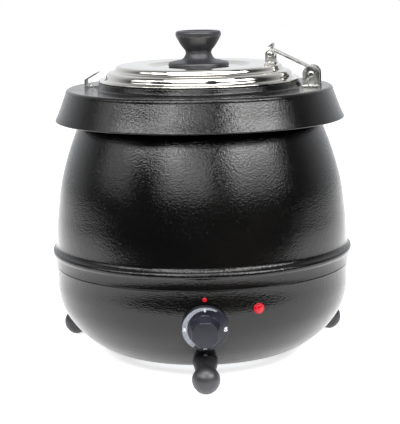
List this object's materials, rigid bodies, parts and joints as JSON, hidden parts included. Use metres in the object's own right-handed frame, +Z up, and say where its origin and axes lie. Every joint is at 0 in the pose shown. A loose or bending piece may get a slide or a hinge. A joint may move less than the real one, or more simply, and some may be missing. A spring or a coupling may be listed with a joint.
{
  "type": "soup kettle",
  "caption": "Electric wet-heat soup kettle: black barrel body on three ball feet, loose collar with a hinged steel lid, lift-out pot and front thermostat knob.",
  "frame": {"origin": "on the vertical axis, at the level of the surface that the three feet stand on", "axes": "+Z up; -Y is the front with the thermostat knob; +X is the side of the lid hinge"},
  "size_m": [0.34, 0.382, 0.367],
  "materials": {
    "black_coat": "orange-peel powder coat, semi-gloss",
    "black_plastic": "fine moulded texture",
    "knob_plastic": "satin moulded",
    "zinc_steel": "zinc plated",
    "brushed_stainless": "brushed",
    "polished_steel": "mirror-polished stainless",
    "hinge_steel": "tumbled stainless",
    "element_sheath": "heat-tinted sheath",
    "aluminium_plate": "rolled",
    "copper": "bare copper",
    "brass_stud": "machined",
    "white_plastic": "moulded",
    "wire_sleeve": "woven sleeve",
    "red_lens": "clear red"
  },
  "bodies": {
    "base": {"upper_shell": "black_coat", "lower_bowl": "black_coat", "base_plate": "zinc_steel", "base_screws": "zinc_steel", "seam_screws": "black_coat", "foot_screws": "zinc_steel", "foot_front": "black_plastic", "foot_left": "black_plastic", "foot_right": "black_plastic", "water_pan": "brushed_stainless", "heating_element": "element_sheath", "element_plate": "aluminium_plate", "element_studs": "zinc_steel", "element_nuts": "zinc_steel", "cutout_switch": "white_plastic", "sensor_bulb": "copper", "sensor_clip": "zinc_steel", "capillary": "copper", "thermostat_body": "white_plastic", "thermostat_screws": "zinc_steel", "thermostat_spacers": "zinc_steel", "pilot_lens": "red_lens", "lamp_body": "white_plastic", "lamp_nut": "black_plastic", "pointer_dot": "red_lens", "cable_gland": "black_plastic", "gland_nut": "black_plastic", "terminal_block": "white_plastic", "earth_stud": "brass_stud", "lead_wires": "wire_sleeve"},
    "pot": {"inner_pot": "brushed_stainless"},
    "collar": {"collar": "black_coat", "collar_guide": "black_coat", "hinge_base_plate_front": "hinge_steel", "hinge_base_plate_rear": "hinge_steel", "hinge_pin": "hinge_steel", "hinge_base_rivets": "hinge_steel", "rim_clip": "hinge_steel", "clip_rivet": "hinge_steel"},
    "lid": {"lid": "polished_steel", "lid_knob": "black_plastic", "lid_knob_screw": "zinc_steel", "lid_knob_washer": "zinc_steel", "hinge_lid_plate_front": "hinge_steel", "hinge_lid_plate_rear": "hinge_steel", "hinge_lid_pin": "hinge_steel", "hinge_arm": "hinge_steel", "hinge_lid_rivets": "hinge_steel"},
    "knob": {"control_knob": "knob_plastic", "thermostat_shaft": "zinc_steel"}
  },
  "joints": [
    {"name": "collar_lift", "type": "slide", "parent": "base", "child": "collar", "axis": [0, 0, 1], "range_m": [0, 0.45]},
    {"name": "pot_lift", "type": "slide", "parent": "base", "child": "pot", "axis": [0, 0, 1], "range_m": [0, 0.225]},
    {"name": "lid_hinge", "type": "hinge", "parent": "collar", "child": "lid", "pos_m": [0.12507, -0.02205, 0.319], "axis": [0.1736, 0.9848, 0], "range_deg": [0, 100]},
    {"name": "thermostat_turn", "type": "hinge", "parent": "base", "child": "knob", "pos_m": [0, -0.1636, 0.068], "axis": [0, 0.9877, 0.1564], "range_deg": [0, 270]}
  ],
  "couplings": [
    {"joint": "pot_lift", "follows": "collar_lift", "ratio": 0.5}
  ]
}
